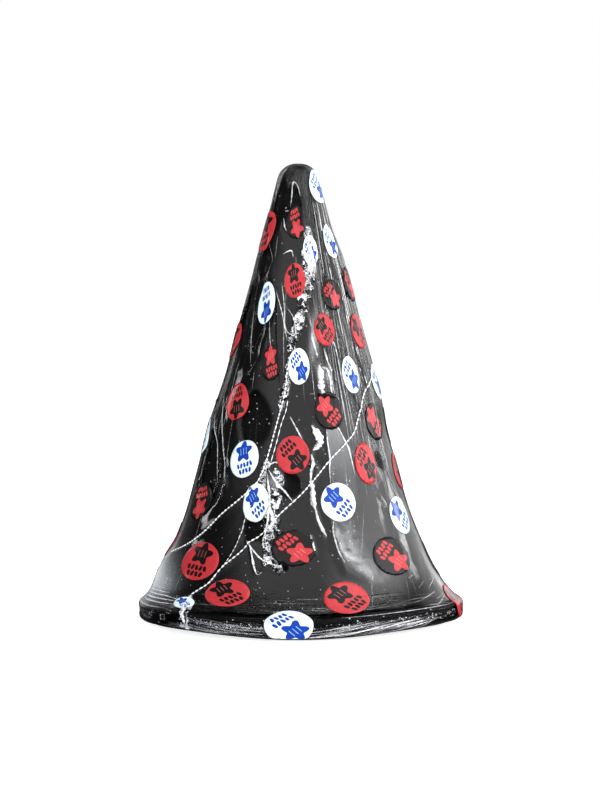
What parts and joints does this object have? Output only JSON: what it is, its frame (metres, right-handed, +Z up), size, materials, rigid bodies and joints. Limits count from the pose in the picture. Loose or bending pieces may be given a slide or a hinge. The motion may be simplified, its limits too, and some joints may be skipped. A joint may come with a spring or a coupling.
{
  "type": "party hat",
  "caption": "Tall foam cone party hat with a thick flat brim, wrapped in clear shrink film printed with round discs.",
  "frame": {"origin": "the centre of the flat ring that the hat stands on", "axes": "+Z up along the hat's axis to the tip, -Y the front, +X to the right of a viewer at the front"},
  "size_m": [0.2698, 0.2698, 0.3775],
  "materials": {
    "foam": "black EVA foam with fine glitter, semi-gloss",
    "tape": "black cloth tape, matte",
    "glitter": "black glitter band with silver specks",
    "card": "black card, matte",
    "felt": "black felt band, matte",
    "film": "clear glossy shrink film, wrinkled and pleated",
    "red_print": "red printed disc under gloss film, with a black star and streaks",
    "white_print": "pale printed disc under gloss film, with a blue star and streaks",
    "black_print": "black printed disc under gloss film, with a red star and streaks"
  },
  "bodies": {
    "root": {"crown_cone": "foam", "crown_seam_tape": "tape", "brim_ring": "foam", "brim_edge_band": "glitter", "brim_facing": "card", "sweatband": "felt", "film_sleeve": "film", "black_disc_01": "black_print", "black_disc_02": "black_print", "black_disc_03": "black_print", "black_disc_04": "black_print", "black_disc_05": "black_print", "black_disc_06": "black_print", "black_disc_07": "black_print", "black_disc_08": "black_print", "black_disc_09": "black_print", "black_disc_10": "black_print", "black_disc_11": "black_print", "black_disc_12": "black_print", "black_disc_13": "black_print", "black_disc_14": "black_print", "red_disc_01": "red_print", "red_disc_02": "red_print", "red_disc_03": "red_print", "red_disc_04": "red_print", "red_disc_05": "red_print", "red_disc_06": "red_print", "red_disc_07": "red_print", "red_disc_08": "red_print", "red_disc_09": "red_print", "red_disc_10": "red_print", "red_disc_11": "red_print", "red_disc_12": "red_print", "red_disc_13": "red_print", "red_disc_14": "red_print", "red_disc_15": "red_print", "red_disc_16": "red_print", "red_disc_17": "red_print", "red_disc_18": "red_print", "red_disc_19": "red_print", "red_disc_20": "red_print", "white_disc_01": "white_print", "white_disc_02": "white_print", "white_disc_03": "white_print", "white_disc_04": "white_print", "white_disc_05": "white_print", "white_disc_06": "white_print", "white_disc_07": "white_print", "white_disc_08": "white_print", "white_disc_09": "white_print", "white_disc_10": "white_print", "white_disc_11": "white_print", "white_disc_12": "white_print", "white_disc_13": "white_print", "white_disc_14": "white_print", "white_disc_15": "white_print", "white_disc_16": "white_print", "white_disc_17": "white_print", "white_disc_18": "white_print"}
  },
  "joints": []
}
